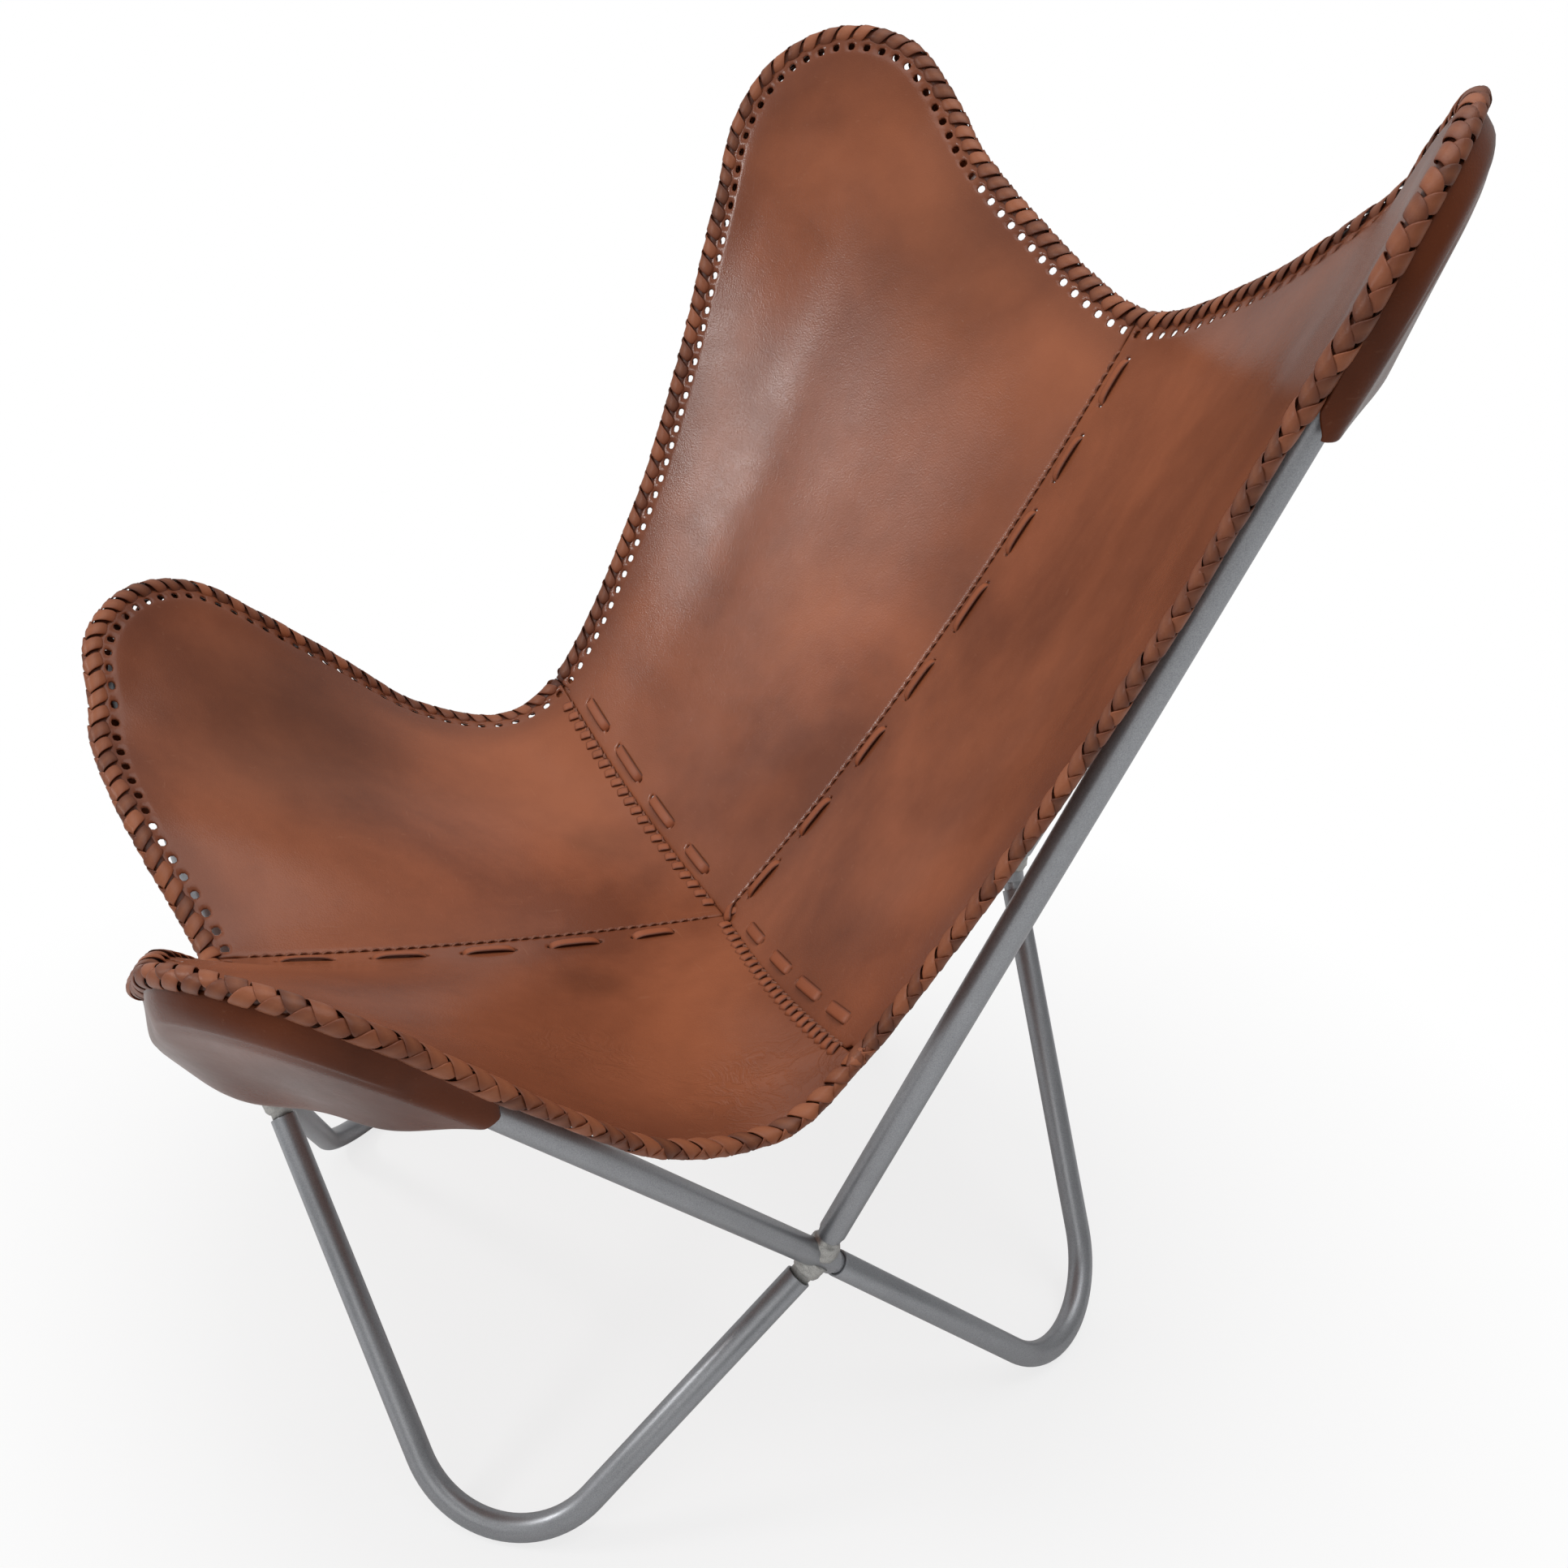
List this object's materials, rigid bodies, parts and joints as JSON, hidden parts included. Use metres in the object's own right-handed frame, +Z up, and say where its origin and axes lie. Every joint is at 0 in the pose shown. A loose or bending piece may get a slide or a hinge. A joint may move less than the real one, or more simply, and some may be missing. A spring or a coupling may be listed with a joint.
{
  "type": "butterfly sling chair",
  "caption": "Low lounge chair with a leather sling hung by corner pockets on a knock-down frame of crossed, bent steel tube.",
  "frame": {"origin": "on the floor, under the middle of the chair's bounding box", "axes": "+Z up; the sitter faces -Y and the sitter's left is +X"},
  "size_m": [0.7796, 0.756, 0.9189],
  "materials": {
    "frame": "satin silver-grey paint",
    "weld": "painted over rough weld",
    "leather": "waxed cognac leather, satin gloss",
    "lace": "braided leather thong"
  },
  "bodies": {
    "root": {"back_seam_lace": "lace", "front_cross_lower_spigot": "weld", "front_cross_plug": "frame", "front_cross_upper_spigot": "weld", "front_left_ear_tube": "frame", "front_left_edge_braid": "lace", "front_left_foot_tube": "frame", "front_left_panel": "leather", "front_left_pocket": "leather", "front_right_ear_tube": "frame", "front_right_edge_braid": "lace", "front_right_foot_tube": "frame", "front_right_panel": "leather", "front_right_pocket": "leather", "front_seam_lace": "lace", "left_cross_lower_spigot": "weld", "left_cross_plug": "frame", "left_cross_upper_spigot": "weld", "left_seam_lace": "lace", "rear_cross_lower_spigot": "weld", "rear_cross_plug": "frame", "rear_cross_upper_spigot": "weld", "rear_left_ear_tube": "frame", "rear_left_edge_braid": "lace", "rear_left_foot_tube": "frame", "rear_left_panel": "leather", "rear_left_pocket": "leather", "rear_right_ear_tube": "frame", "rear_right_edge_braid": "lace", "rear_right_foot_tube": "frame", "rear_right_panel": "leather", "rear_right_pocket": "leather", "right_cross_lower_spigot": "weld", "right_cross_plug": "frame", "right_cross_upper_spigot": "weld", "right_seam_lace": "lace"}
  },
  "joints": []
}
